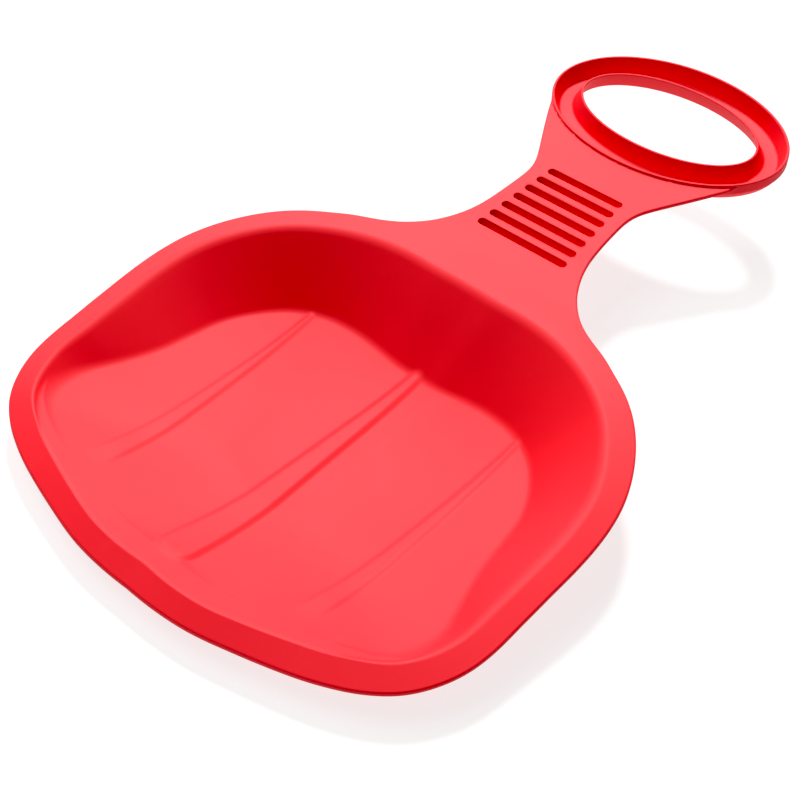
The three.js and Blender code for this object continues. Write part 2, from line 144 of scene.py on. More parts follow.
crestLine = np.array([
    [-131.5, 24.5], [-60.0, 30.4], [0.0, 38.1], [143.0, 54.4], [180.0, 54.6], [254.0, 62.0],
    [359.7, 69.6], [419.3, 74.5],
])
frontEnd = ring["centreY"] + ring["halfDepth"]
rearEnd = -pan["rearReach"] - flange["width"] * flange["widthShare"][0]
middleY = (rearEnd + frontEnd) / 2


def hermite(start, end, startTangent, endTangent, t):
    t2, t3 = t * t, t * t * t
    return ((2 * t3 - 3 * t2 + 1) * start + (t3 - 2 * t2 + t) * startTangent
            + (3 * t2 - 2 * t3) * end + (t3 - t2) * endTangent)


def tableAt(table, angle):
    table = np.asarray(table, float)
    last = len(table) - 1
    place = (np.asarray(angle) / math.pi + 0.5) * last
    index = np.clip(np.floor(place).astype(int), 0, last - 1)
    before, start = table[np.maximum(index - 1, 0)], table[index]
    end, after = table[index + 1], table[np.minimum(index + 2, last)]
    return hermite(start, end, (end - before) / 2, (after - start) / 2, place - index)


def crestHeight(y):
    y = np.asarray(y, float)
    last = len(crestLine) - 2
    slopes = np.diff(crestLine[:, 1]) / np.diff(crestLine[:, 0])
    index = np.clip(np.searchsorted(crestLine[:, 0], y, side="left") - 1, 0, last)
    span = np.diff(crestLine[:, 0])[index]
    before = np.where(index > 0, (slopes[np.maximum(index - 1, 0)] + slopes[index]) / 2, slopes[index])
    after = np.where(index < last, (slopes[index] + slopes[np.minimum(index + 1, last)]) / 2, slopes[index])
    start, end = crestLine[index, 1], crestLine[index + 1, 1]
    t = (y - crestLine[index, 0]) / span
    inside = hermite(start, end, before * span, after * span, t)
    inside = np.where(t < 0, start + before * t * span, inside)
    return np.where(t > 1, end + after * (t - 1) * span, inside)


def reachScale(forward):
    return np.where(forward, pan["frontReach"] / pan["crest"][-1], pan["rearReach"] / pan["crest"][0])


def fold(angle):
    return np.arcsin(np.sin(angle))


def crestPoint(angle):
    share = tableAt(pan["crest"], fold(angle))
    x = pan["crestHalfWidth"] * share * np.cos(angle)
    y = reachScale(np.sin(angle) > 0) * share * np.sin(angle)
    return np.stack([x, y], -1)


def crestOut(angle, halfTurn):
    # level direction straight out from the crest, taken over a small turn each way
    along = crestPoint(angle + halfTurn) - crestPoint(angle - halfTurn)
    along /= np.linalg.norm(along, axis=-1, keepdims=True)
    return np.stack([along[..., 1], -along[..., 0]], -1)


def panPlace(x, y):
    across = np.abs(x) / pan["crestHalfWidth"]
    along = y / reachScale(y > 0)
    angle = np.arctan2(along, across)
    return angle, np.hypot(across, along) / tableAt(pan["crest"], angle)


def smoothMax(a, b, blend):
    overlap = np.maximum(blend - np.abs(a - b), 0)
    return np.maximum(a, b) + np.where(blend > 0, overlap**2 / (4 * np.maximum(blend, 1e-9)), 0)


def smoothStep(t):
    t = np.clip(t, 0, 1)
    return t * t * (3 - 2 * t)


def smoothCurve(points, step, passes):
    # an even, softened curve through the given points
    points = np.asarray(points, float)
    fine = []
    for i in range(len(points) - 1):
        before, start = points[max(i - 1, 0)], points[i]
        end, after = points[i + 1], points[min(i + 2, len(points) - 1)]
        t = np.linspace(0, 1, 40, endpoint=False)[:, None]
        fine.append(hermite(start, end, (end - before) / 2, (after - start) / 2, t))
    fine = np.vstack(fine + [points[-1:]])
    fine = evenCurve(fine, step)
    for _ in range(passes):
        fine[1:-1] = (fine[:-2] + 2 * fine[1:-1] + fine[2:]) / 4
    return evenCurve(fine, step)


def evenCurve(points, step):
    run = np.r_[0, np.cumsum(np.hypot(*np.diff(points, axis=0).T))]
    count = max(int(round(run[-1] / step)), 2)
    places = np.linspace(0, run[-1], count + 1)
    return np.stack([np.interp(places, run, points[:, i]) for i in (0, 1)], -1)


# outline of the flange and the neck, right half, from straight back to the ring
def flangeEdge(angle):
    width = flange["width"] * tableAt(flange["widthShare"], fold(angle))
    return crestPoint(angle) + crestOut(angle, math.radians(flange["edgeTurn"])) * width[..., None]


def rimOutline():
    edge = flangeEdge(np.radians(np.linspace(-90, flange["sweepStart"], flange["edgeStations"])))
    start = edge[-1]
    corner = np.array([neck["rootHalfWidth"], neck["rootY"]])
    sweep = [start + (corner - start) * np.array(share) for share in flange["sweep"]]
    waist = np.array([neck["waistHalfWidth"], neck["waistY"]])
    side = [corner + (waist - corner) * np.array([across, along]) for along, across in neck["side"]]
    joinAngle = math.radians(ring["joinAngle"])
    join = np.array([(ring["halfWidth"] - ring["joinDepth"]) * math.cos(joinAngle),
                     ring["centreY"] + (ring["halfDepth"] - ring["joinDepth"]) * math.sin(joinAngle)])
    flare = [waist + (join - waist) * np.array([across, along]) for along, across in neck["flare"]]
    points = np.vstack([edge[::flange["edgeKept"]], sweep, [corner], side, flare])
    return smoothCurve(points, flange["edgeStep"], flange["softening"])


rim = rimOutline()
tangent = np.gradient(rim, axis=0)
tangent[0] = [1, 0]
tangent /= np.linalg.norm(tangent, axis=1, keepdims=True)
rimOut = np.stack([tangent[:, 1], -tangent[:, 0]], -1)
inset = rim - rimOut * sheet["topRound"]
# one point of the rim is slid along it onto the line where the neck starts
rootIndex = int(np.argmin(np.abs(inset[:, 1] - neck["rootY"])))
near = slice(rootIndex - 2, rootIndex + 3)
for values in (rimOut, inset):
    values[rootIndex] = [np.interp(neck["rootY"], inset[near, 1], values[near, i]) for i in (0, 1)]
rim[rootIndex] = inset[rootIndex] + rimOut[rootIndex] * sheet["topRound"]

# how far out the flange reaches at each angle, as a share of the crest
rimAngle, rimShare = panPlace(rim[:rootIndex + 1, 0], rim[:rootIndex + 1, 1])
rootX = np.linspace(rim[rootIndex, 0], 0, 20)[1:]
moreAngle, moreShare = panPlace(rootX, np.full(len(rootX), neck["rootY"]))
rimAngle, rimShare = np.r_[rimAngle, moreAngle], np.r_[rimShare, moreShare]
print("outline:", len(rim), "points a side, rear at", round(rearEnd - middleY, 1))


def ridgeHalf(ridge, y):
    return np.interp(y, [ridge["rear"], 0, ridge["front"]], ridge["widths"]) / 2


def ridgeLift(x, y):
    lift = np.zeros(np.shape(x))
    for ridge in ridges:
        rear = ridge["rear"] + ridge["widths"][0] / 2
        front = ridge["front"] - ridge["widths"][2] / 2
        nearest = np.clip(y, rear, front)
        reach = ridgeHalf(ridge, nearest) - np.hypot(x - ridge["x"], y - nearest)
        fade = smoothStep((y - ridge["rear"]) / ridge["fade"])
        lift = lift + ridge["height"] * smoothStep(reach / ridge["flank"]) * fade
    return lift


def panHeight(x, y):
    angle, share = panPlace(x, y)
    crestShare = tableAt(pan["crest"], angle)
    crestX = pan["crestHalfWidth"] * crestShare * np.cos(angle)
    crestY = reachScale(y > 0) * crestShare * np.sin(angle)
    crest = crestHeight(crestY)
    inward = (1 - share) * np.hypot(crestX, crestY)
    rising = np.maximum(np.minimum(share, 1) - pan["flatShare"], 0) / (1 - pan["flatShare"])
    rise = tableAt(pan["floorRise"], angle) * rising ** tableAt(pan["floorPower"], angle)
    floor = sheet["thickness"] + (crest - sheet["thickness"]) * rise + ridgeLift(x, y)
    wall = crest - tableAt(pan["wallSlope"], angle) * inward
    blend = pan["footFillet"] * tableAt(pan["filletShare"], angle)
    return smoothMax(floor, wall, np.clip(np.minimum(blend, inward), 0, None)), angle, share


def height(x, y):
    # upper face of the whole sheet: pan, flange and neck
    inside, angle, share = panHeight(x, y)
    out = (share - 1) / (np.interp(angle, rimAngle, rimShare) - 1)
    droop = flange["droop"] * tableAt(flange["droopShare"], angle) * np.minimum(out, 1)
    plate = crestHeight(y) - droop
    z = -smoothMax(-inside, -plate, pan["crestFillet"] * tableAt(pan["crestShare"], angle))
    z = np.where(out >= 1, plate, z)
    ringOut = ringDistance(x, y)
    lift = np.clip(1 - ringOut / neck["footFillet"], 0, 1)
    return z + neck["footFillet"] * (1 - np.sqrt(1 - lift**2))


def ringDistance(x, y):
    # distance outside the ring's outer edge, near enough close to it
    a, b = ring["halfWidth"], ring["halfDepth"]
    u, v = x / a, (y - ring["centreY"]) / b
    radius = np.hypot(u, v) + 1e-9
    slope = np.hypot(u / a, v / b) / radius
    return (radius - 1) / slope


def normals(x, y):
    e = sheet["slopeStep"]
    slopeX = (height(x + e, y) - height(x - e, y)) / (2 * e)
    slopeY = (height(x, y + e) - height(x, y - e)) / (2 * e)
    n = np.stack([-slopeX, -slopeY, np.ones(np.shape(x))], -1)
    return n / np.linalg.norm(n, axis=-1, keepdims=True)


def mirrored(points):
    return points * np.array([-1, 1])


def insidePolygon(points, polygon):
    x, y = points[:, 0][:, None], points[:, 1][:, None]
    x1, y1 = polygon[:, 0][None], polygon[:, 1][None]
    x2, y2 = np.roll(x1, -1, 1), np.roll(y1, -1, 1)
    crosses = (y1 > y) != (y2 > y)
    with np.errstate(divide="ignore", invalid="ignore"):
        at = x1 + (y - y1) * (x2 - x1) / (y2 - y1)
    return (np.sum(crosses & (x < at), 1) % 2) == 1


def hexPoints(x0, x1, y0, y1, step):
    rows = np.arange(y0, y1, step * 0.866)  # the height of an even triangle
    points = []
    for i, y in enumerate(rows):
        xs = np.arange(x0 + (step / 2) * (i % 2), x1, step)
        points.append(np.stack([xs, np.full(len(xs), y)], -1))
    return np.vstack(points)


def clearOf(points, line, gap):
    # drops points that come nearer than the gap to a border's own points
    keep = np.ones(len(points), bool)
    batch = 4000  # keeps the table of distances small
    for start in range(0, len(points), batch):
        part = points[start:start + batch]
        near = ((part[:, None] - line[None]) ** 2).sum(-1).min(1)
        keep[start:start + batch] = near > gap * gap
    return points[keep]


def sheetPiece(name, nodes, borders, points, material):
    # borders: closed loops, the outer one first. Each is (points, out), out is the rim's
    # outward direction at each point, or None for a border that meets another section.
    loops = [np.asarray(loop, float) for loop, _ in borders]
    allPoints, edges = [], []
    for loop in loops:
        first = len(allPoints)
        allPoints += [Vector(p) for p in loop]
        edges += [(first + i, first + (i + 1) % len(loop)) for i in range(len(loop))]
    allPoints += [Vector(p) for p in points]
    flat, _, triangles, origins, _, _ = delaunay_2d_cdt(allPoints, edges, [], 0, 1e-5)
    flat = np.array([tuple(p) for p in flat])
    triangles = np.array([list(t) for t in triangles])
    centres = flat[triangles].mean(1)
    keep = insidePolygon(centres, loops[0])
    for loop in loops[1:]:
        keep &= ~insidePolygon(centres, loop)
    triangles = triangles[keep]
    a, b, c = (flat[triangles[:, i]] for i in range(3))
    turned = (b[:, 0] - a[:, 0]) * (c[:, 1] - a[:, 1]) - (b[:, 1] - a[:, 1]) * (c[:, 0] - a[:, 0])
    triangles[turned < 0] = triangles[turned < 0][:, ::-1]
    place = {}
    for i, origin in enumerate(origins):
        for old in origin:
            place[old] = i
    used, triangles = np.unique(triangles, return_inverse=True)
    triangles = triangles.reshape(-1, 3)
    renumber = {int(old): new for new, old in enumerate(used)}
    flat = flat[used]
    x, y = flat.T
    top = height(x, y)
    up = normals(x, y)
    bottom = np.maximum(top - sheet["thickness"] / np.maximum(up[:, 2], sheet["leastUp"]), 0)
    count = len(flat)
    verts = [*np.c_[flat, top], *np.c_[flat, bottom]]
    faces = [list(t) for t in triangles] + [list(t[::-1] + count) for t in triangles]
    corners = [up[list(t)] for t in triangles] + [-up[list(t[::-1])] for t in triangles]
    first = 0
    for loop, out in borders:
        ids = [renumber[place[first + i]] for i in range(len(loop))]
        first += len(loop)
        area = sum(p[0] * q[1] - q[0] * p[1] for p, q in zip(loop, np.roll(loop, -1, 0)))
        outer = loop is borders[0][0]
        forward = (area > 0) == outer
        columns = {}
        if out is not None:
            for i, direction in enumerate(out):
                if not np.isnan(direction[0]):
                    columns[i] = rimColumn(flat[ids[i]], top[ids[i]], up[ids[i]], direction, verts)
        for i in range(len(loop)):
            j = (i + 1) % len(loop)
            p, q = ids[i], ids[j]
            if i in columns and j in columns:
                left = [(p, up[p]), *columns[i], (p + count, -up[p])]
                right = [(q, up[q]), *columns[j], (q + count, -up[q])]
                for k in range(len(left) - 1):
                    quad = [left[k], left[k + 1], right[k + 1], right[k]]
                    quad = quad if forward else quad[::-1]
                    faces.append([v for v, _ in quad])
                    corners.append(np.array([n for _, n in quad]))
                continue
            quad = [p, p + count, q + count, q]
            quad = quad if forward else quad[::-1]
            faces.append(quad)
            side = np.cross([0, 0, -1], [*(flat[q] - flat[p]), 0])
            side = side / (np.linalg.norm(side) + 1e-12) * (1 if forward else -1)
            corners.append(np.array([side] * 4))
            for k, here in ((i, i in columns), (j, j in columns)):
                if here:
                    # the rim's cut end, where the next section goes on
                    cutEnd = [ids[k], *[v for v, _ in columns[k]], ids[k] + count]
                    cutEnd = cutEnd if (k == i) == forward else cutEnd[::-1]
                    faces.append(cutEnd)
                    corners.append(None)
    meshPiece(name, nodes, verts, faces, corners, material)


def rimColumn(point, top, up, direction, verts):
    r, under, steps = sheet["topRound"], sheet["underRound"], sheet["roundSteps"]
    out = np.array([*direction, 0.0])
    level, most = max(up[2], sheet["rimLeastUp"]), sheet["rimMostSlope"]
    slope = np.clip(-(up[0] * direction[0] + up[1] * direction[1]) / level, -most, most)
    column = []
    for k in range(1, steps + 1):
        a = math.pi / 2 * k / steps
        z = top + slope * r * math.sin(a) - r * (1 - math.cos(a))
        n = up * math.cos(a) + out * math.sin(a)
        verts.append([*(point + direction * r * math.sin(a)), z])
        column.append((len(verts) - 1, n / np.linalg.norm(n)))
    low = top + slope * r - sheet["thickness"] / level
    for k in range(sheet["underSteps"] + 1):
        a = math.pi / 2 * k / sheet["underSteps"]
        reach = r - under * (1 - math.cos(a))
        verts.append([*(point + direction * reach), low + under * (1 - math.sin(a))])
        n = out * math.cos(a) - up * math.sin(a)
        column.append((len(verts) - 1, n / np.linalg.norm(n)))
    return column


def meshPiece(name, nodes, verts, faces, corners, material):
    mesh = bpy.data.meshes.new(name)
    verts = (np.array([list(v) for v in verts]) - [0, middleY, 0]) / 1000
    mesh.from_pydata([tuple(v) for v in verts], [], [tuple(int(i) for i in f) for f in faces])
    mesh.update()
    mesh.shade_smooth()
    loopNormals = []
    for face, given in zip(mesh.polygons, corners):
        if given is None:
            loopNormals += [tuple(face.normal)] * len(face.vertices)
        else:
            loopNormals += [tuple(n) for n in given]
        if given is None or np.allclose(given, given[0]):
            # a cut face keeps its own shading, with crisp edges
            for corner in face.loop_indices:
                mesh.edges[mesh.loops[corner].edge_index].use_edge_sharp = True
    mesh.normals_split_custom_set(loopNormals)
    finishPiece(bpy.data.objects.new(name, mesh), nodes, material)


def finishPiece(obj, nodes, material):
    if obj.name not in scene.collection.all_objects:
        scene.collection.objects.link(obj)
    obj.data.materials.clear()
    obj.data.materials.append(material)
    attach(obj, "root")
    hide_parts(*nodes)
    print(obj.name, len(obj.data.vertices), "vertices")


# plastic
grainLook = {
    "Grain": {"Scale": 900.0, "Detail": 3}, "Clouds": {"Scale": 9.0, "Detail": 2},
    "Rub": {"Scale": 60.0, "Detail": 6, "Roughness": 0.7},
    "rubStretch": (1.0, 0.12, 1.0), "rubFrom": 0.58, "rubTo": 0.78,
}


def grainGroup():
    # fine moulded grain, slow clouding and faint rubbing along the slider
    group = bpy.data.node_groups.new("mouldedGrain", "ShaderNodeTree")
    effects = ("Grain", "Clouds", "Rub")
    for label in effects:
        socket = group.interface.new_socket(label + " Scale", in_out="INPUT", socket_type="NodeSocketFloat")
        socket.default_value = grainLook[label]["Scale"]
        group.interface.new_socket(label, in_out="OUTPUT", socket_type="NodeSocketFloat")
    nodes, links = group.nodes, group.links
    inputs = nodes.new("NodeGroupInput")
    outputs = nodes.new("NodeGroupOutput")
    place = nodes.new("ShaderNodeTexCoord").outputs["Object"]
    stretch = nodes.new("ShaderNodeMapping")
    stretch.inputs["Scale"].default_value = grainLook["rubStretch"]
    links.new(place, stretch.inputs["Vector"])
    noise = {}
    for label in effects:
        node = nodes.new("ShaderNodeTexNoise")
        for name in ("Detail", "Roughness"):
            if name in grainLook[label]:
                node.inputs[name].default_value = grainLook[label][name]
        links.new(stretch.outputs["Vector"] if label == "Rub" else place, node.inputs["Vector"])
        links.new(inputs.outputs[label + " Scale"], node.inputs["Scale"])
        noise[label] = node.outputs["Fac"]
    narrow = nodes.new("ShaderNodeMapRange")
    narrow.inputs["From Min"].default_value = grainLook["rubFrom"]
    narrow.inputs["From Max"].default_value = grainLook["rubTo"]
    links.new(noise["Rub"], narrow.inputs["Value"])
    links.new(noise["Grain"], outputs.inputs["Grain"])
    links.new(noise["Clouds"], outputs.inputs["Clouds"])
    links.new(narrow.outputs["Result"], outputs.inputs["Rub"])
    return group


redPlastic = {
    "deep": (0.74, 0.012, 0.022, 1), "bright": (0.78, 0.015, 0.026, 1), "worn": (0.82, 0.05, 0.06, 1),
    "roughLow": 0.56, "roughHigh": 0.62, "sheen": 0.28, "ior": 1.49, "wear": 0.12,
    "bump": 0.04, "bumpDistance": 0.0002,
}
grain = grainGroup()


def makePlastic(name, look):
    material = bpy.data.materials.new(name)
    material.use_nodes = True
    nodes, links = material.node_tree.nodes, material.node_tree.links
    shader = nodes["Principled BSDF"]
    shader.inputs["IOR"].default_value = look["ior"]
    shader.inputs["Specular IOR Level"].default_value = look["sheen"]
    effect = nodes.new("ShaderNodeGroup")
    effect.node_tree = grain
    colour = nodes.new("ShaderNodeMix")
    colour.data_type = "RGBA"
    colour.inputs[6].default_value = look["deep"]
    colour.inputs[7].default_value = look["bright"]
    links.new(effect.outputs["Clouds"], colour.inputs[0])
    faint = nodes.new("ShaderNodeMath")
    faint.operation = "MULTIPLY"
    faint.inputs[1].default_value = look["wear"]
    links.new(effect.outputs["Rub"], faint.inputs[0])
    worn = nodes.new("ShaderNodeMix")
    worn.data_type = "RGBA"
    worn.inputs[7].default_value = look["worn"]
    links.new(faint.outputs[0], worn.inputs[0])
    links.new(colour.outputs[2], worn.inputs[6])
    links.new(worn.outputs[2], shader.inputs["Base Color"])
    rough = nodes.new("ShaderNodeMapRange")
    rough.inputs["To Min"].default_value = look["roughLow"]
    rough.inputs["To Max"].default_value = look["roughHigh"]
    links.new(effect.outputs["Clouds"], rough.inputs["Value"])
    links.new(rough.outputs["Result"], shader.inputs["Roughness"])
    bump = nodes.new("ShaderNodeBump")
    bump.inputs["Strength"].default_value = look["bump"]
    bump.inputs["Distance"].default_value = look["bumpDistance"]
    links.new(effect.outputs["Grain"], bump.inputs["Height"])
    links.new(bump.outputs["Normal"], shader.inputs["Normal"])
    return material


sliderPlastic = makePlastic("sliderPlastic", redPlastic)
print("plastic made")

# pan: floor, ridges and wall
ridgeMesh = {
    "margin": 0.6, "borderStep": 2.4, "endPoints": 15, "across": 27, "inset": 0.1,
    "rearZone": 22.0, "rearStep": 1.2, "middleStep": 2.2, "frontZone": 18.0, "frontStep": 0.75,
}
panMesh = {
    # rows of points: just in from the crest, down the wall, through its foot and in along the floor
    "nearCrest": [0.4, 0.8, 1.2, 1.7, 2.3, 3.0, 4.0], "wallRows": 8, "footBand": 7, "footRows": 19,
    "alongFloor": [1.4, 3, 5, 7.5, 10.5, 14, 18, 22.5, 27.5, 33, 39],
    "leastFoot": 14, "searchTo": 0.35, "searchSteps": 500,
    # the grid inside the last row: x, y and step
    "grid": (-140, 140, -120, 120, 4.5), "gridGap": 0.02,
}
# how near a section's inner points may come to its borders
borderGap = {"foot": 0.7, "ridge": 0.8, "ridgeInside": 0.3, "rim": 1.2, "crest": 0.25,
             "groove": 0.8, "neck": 0.12}
angles = np.radians(np.arange(0, 360, 360 / pan["stations"]))
crestLoop = crestPoint(angles)
footShare = tableAt(pan["sectionFoot"], fold(angles))
footLoop = crestLoop * footShare[:, None]


def ridgeBorder(ridge):
    margin = ridgeMesh["margin"]
    rear, front = ridge["rear"] - margin, ridge["front"] + margin
    ys = np.linspace(rear, front, int((front - rear) / ridgeMesh["borderStep"]) + 1)
    half = ridgeHalf(ridge, ys) + margin
    across = np.linspace(-1, 1, ridgeMesh["endPoints"])[1:-1]
    right = np.stack([ridge["x"] + half, ys], -1)
    frontRow = np.stack([ridge["x"] - across * half[-1], np.full(len(across), front)], -1)
    left = np.stack([ridge["x"] - half[::-1], ys[::-1]], -1)
    rearRow = np.stack([ridge["x"] + across * half[0], np.full(len(across), rear)], -1)
    return np.vstack([right, frontRow, left, rearRow])


def ridgePoints(ridge):
    rear, front = ridge["rear"], ridge["front"]
    afterRear, beforeFront = rear + ridgeMesh["rearZone"], front - ridgeMesh["frontZone"]
    along = np.r_[rear:afterRear:ridgeMesh["rearStep"], afterRear:beforeFront:ridgeMesh["middleStep"],
                  beforeFront:front:ridgeMesh["frontStep"]]
    across = np.linspace(-1, 1, ridgeMesh["across"])
    xs = ridge["x"] + across[None] * (ridgeHalf(ridge, along) - ridgeMesh["inset"])[:, None]
    ys = np.repeat(along[:, None], len(across), 1)
    return np.stack([xs.ravel(), ys.ravel()], -1)


def footDistance():
    # distance in from the crest to the line where floor and wall meet, at every station
    shares = np.linspace(1, panMesh["searchTo"], panMesh["searchSteps"])
    found = np.zeros(len(angles))
    folded = fold(angles)
    length = np.hypot(*crestLoop.T)
    crest = crestHeight(crestLoop[:, 1])
    for share in shares:
        rising = (share - pan["flatShare"]) / (1 - pan["flatShare"])
        rise = tableAt(pan["floorRise"], folded) * rising ** tableAt(pan["floorPower"], folded)
        floor = sheet["thickness"] + (crest - sheet["thickness"]) * rise
        inward = (1 - share) * length
        wall = crest - tableAt(pan["wallSlope"], folded) * inward
        found = np.where(wall > floor, inward, found)
    return np.maximum(found, panMesh["leastFoot"]), length


def polarRows():
    foot, length = footDistance()
    near, band = panMesh["nearCrest"], panMesh["footBand"]
    rows = [np.full(len(angles), d) for d in near]
    rows += [near[-1] + (foot - band - near[-1]) * t for t in np.linspace(0, 1, panMesh["wallRows"])[1:]]
    rows += [foot + d for d in np.linspace(-band, band, panMesh["footRows"])[1:]]
    rows += [foot + band + d for d in panMesh["alongFloor"]]
    return [1 - row / length for row in rows]


rows = np.array(polarRows())
places = (crestLoop[None] * rows[..., None]).reshape(-1, 2)
shares = rows.ravel()
footShares = np.tile(footShare, len(rows))
borderLoops = [ridgeBorder(ridge) for ridge in ridges]

wallPoints = places[(shares > footShares) & (shares < 1)]
wallPoints = clearOf(wallPoints, footLoop, borderGap["foot"])
sheetPiece("pan_wall", ["pan_wall"], [(crestLoop, None), (footLoop, None)],
           wallPoints, sliderPlastic)

floorPoints = places[shares < footShares]
middle = hexPoints(*panMesh["grid"])
middleAngle, middleShare = panPlace(*middle.T)
degrees = np.arange(-90, 91)
innermost = np.interp(middleAngle, np.radians(degrees), rows[-1][degrees])
floorPoints = np.vstack([floorPoints, middle[middleShare < innermost - panMesh["gridGap"]]])
for border in borderLoops:
    floorPoints = floorPoints[~insidePolygon(floorPoints, border)]
    floorPoints = clearOf(floorPoints, border, borderGap["ridge"])
floorPoints = clearOf(floorPoints, footLoop, borderGap["foot"])
sheetPiece("seat_floor", ["seat_floor"], [(footLoop, None)] + [(b, None) for b in borderLoops],
           floorPoints, sliderPlastic)

for ridge, border in zip(ridges, borderLoops):
    points = ridgePoints(ridge)
    points = clearOf(points[insidePolygon(points, border)], border, borderGap["ridgeInside"])
    sheetPiece(ridge["name"], [ridge["name"]], [(border, None)], points, sliderPlastic)

# flange, out to the rounded rim
rootWidth = inset[rootIndex, 0]
rootRow = np.linspace(rootWidth, -rootWidth, neck["rootStations"])[1:-1]
rootRow = np.stack([rootRow, np.full(len(rootRow), neck["rootY"])], -1)
noRim = np.full((len(rootRow), 2), np.nan)
rightRim, rightOut = inset[:rootIndex + 1], rimOut[:rootIndex + 1]
outer = np.vstack([rightRim, rootRow, mirrored(rightRim)[::-1][:-1]])
outerOut = np.vstack([rightOut, noRim, mirrored(rightOut)[::-1][:-1]])
crestDirection = crestOut(angles, math.radians(flange["rowTurn"]))
flangeRows = [crestLoop + crestDirection * distance for distance in flange["rowDistances"]]
flangePoints = np.vstack(flangeRows + [hexPoints(*flange["grid"])])
_, share = panPlace(*flangePoints.T)
flangePoints = flangePoints[(share > 1.0) & insidePolygon(flangePoints, outer)]
flangePoints = clearOf(clearOf(flangePoints, outer, borderGap["rim"]), crestLoop, borderGap["crest"])
sheetPiece("rim_flange", ["rim_flange"], [(outer, outerOut), (crestLoop, None)],
           flangePoints, sliderPlastic)


# neck plate with holes for the grooves
groove = {
    "count": 7, "pitch": 11.08, "firstY": 199.2, "firstHalfLength": 35.9,
    "shortening": 0.97, "width": 5.5, "depth": 9.0, "wall": 1.8, "lip": 0.55, "flat": 0.3,
    "bottomRound": 1.4, "outerRound": 2, "draft": 0.25, "middle": 0.4,
    # how deep the lip's edge, its underside and the start of the outer wall lie
    "edgeDepth": 1.2, "underDepth": 1.3, "wallDepth": 2.2,
    "segments": 28, "roundSteps": 5, "sharpAngle": 40, "mergeGap": 0.001, "fitFrom": 190, "fitTo": 272,
}


def ovalArc(inward, start, end, count):
    t = np.linspace(start, end, count)
    return np.stack([(ring["halfWidth"] - inward) * np.cos(t),
                     ring["centreY"] + (ring["halfDepth"] - inward) * np.sin(t)], -1)


def grooveLoop(index, grown):
    n = groove["segments"]
    turn = (np.arange(n) + 0.5) * 2 * math.pi / n
    radius = groove["width"] / 2 + grown
    straight = groove["firstHalfLength"] - groove["shortening"] * index - groove["width"] / 2
    x = np.sign(np.cos(turn)) * straight + radius * np.cos(turn)
    y = groove["firstY"] + groove["pitch"] * index + radius * np.sin(turn)
    return np.stack([x, y], -1)


sideRim, sideOut = inset[rootIndex:], rimOut[rootIndex:]
within = ringDistance(*(sideRim + sideOut * sheet["topRound"]).T) > -neck["endReach"]
last = int(np.where(within)[0].max()) + 1
sideRim, sideOut = sideRim[:last], sideOut[:last]
endAngle = math.atan2((sideRim[-1, 1] - ring["centreY"]) / (ring["halfDepth"] - neck["endInset"]),
                      sideRim[-1, 0] / (ring["halfWidth"] - neck["endInset"]))
endArc = ovalArc(neck["endInset"], endAngle, -math.pi - endAngle, neck["endStations"])[1:-1]
noEnd = np.full((len(endArc), 2), np.nan)
neckOuter = np.vstack([sideRim, endArc, mirrored(sideRim)[::-1], rootRow[::-1]])
neckOut = np.vstack([sideOut, noEnd, mirrored(sideOut)[::-1], noRim])
holes = [grooveLoop(i, groove["lip"] + groove["flat"]) for i in range(groove["count"])]
ringRows = [ovalArc(-d, -math.pi + neck["rowEnd"], -neck["rowEnd"], neck["rowStations"])
            for d in neck["rowDistances"]]
neckPoints = np.vstack(ringRows + [hexPoints(*neck["grid"])])
neckPoints = neckPoints[insidePolygon(neckPoints, neckOuter)]
for hole in holes:
    neckPoints = neckPoints[~insidePolygon(neckPoints, hole)]
    neckPoints = clearOf(neckPoints, hole, borderGap["groove"])
neckPoints = clearOf(neckPoints, neckOuter, borderGap["neck"])
sheetPiece("handle_neck", ["handle_neck"], [(neckOuter, neckOut)] + [(hole, None) for hole in holes],
           neckPoints, sliderPlastic)


# Geometry Nodes helpers
def startTree(name, inputs):
    tree = bpy.data.node_groups.new(name, "GeometryNodeTree")
    tree.interface.new_socket("Geometry", in_out="INPUT", socket_type="NodeSocketGeometry")
    for label in inputs:
        kind = "NodeSocketMaterial" if label == "Material" else (
            "NodeSocketInt" if label in ("Stations", "Count") else "NodeSocketFloat")
        tree.interface.new_socket(label, in_out="INPUT", socket_type=kind)
    tree.interface.new_socket("Geometry", in_out="OUTPUT", socket_type="NodeSocketGeometry")
    return tree, tree.nodes.new("NodeGroupInput"), tree.nodes.new("NodeGroupOutput")


def feed(tree, socket, value):
    if isinstance(value, bpy.types.NodeSocket):
        tree.links.new(value, socket)
    else:
        socket.default_value = value


def calculator(tree):
    def calc(operation, *values):
        node = tree.nodes.new("ShaderNodeMath")
        node.operation = operation
        for socket, value in zip(node.inputs, values):
            feed(tree, socket, value)
        return node.outputs[0]
    return calc


def captured(tree, geometry, kind, value, domain="POINT"):
    node = tree.nodes.new("GeometryNodeCaptureAttribute")
    node.domain = domain
    node.capture_items.new(kind, "Place")
    tree.links.new(geometry, node.inputs[0])
    tree.links.new(value, node.inputs[1])
    return node.outputs[0], node.outputs[1]


def separated(tree, vector):
    node = tree.nodes.new("ShaderNodeSeparateXYZ")
    tree.links.new(vector, node.inputs[0])
    return node.outputs


def combined(tree, *values):
    node = tree.nodes.new("ShaderNodeCombineXYZ")
    for socket, value in zip(node.inputs, values):
        feed(tree, socket, value)
    return node.outputs[0]


def moved(tree, geometry, position):
    node = tree.nodes.new("GeometryNodeSetPosition")
    tree.links.new(geometry, node.inputs["Geometry"])
    tree.links.new(position, node.inputs["Position"])
    return node.outputs[0]


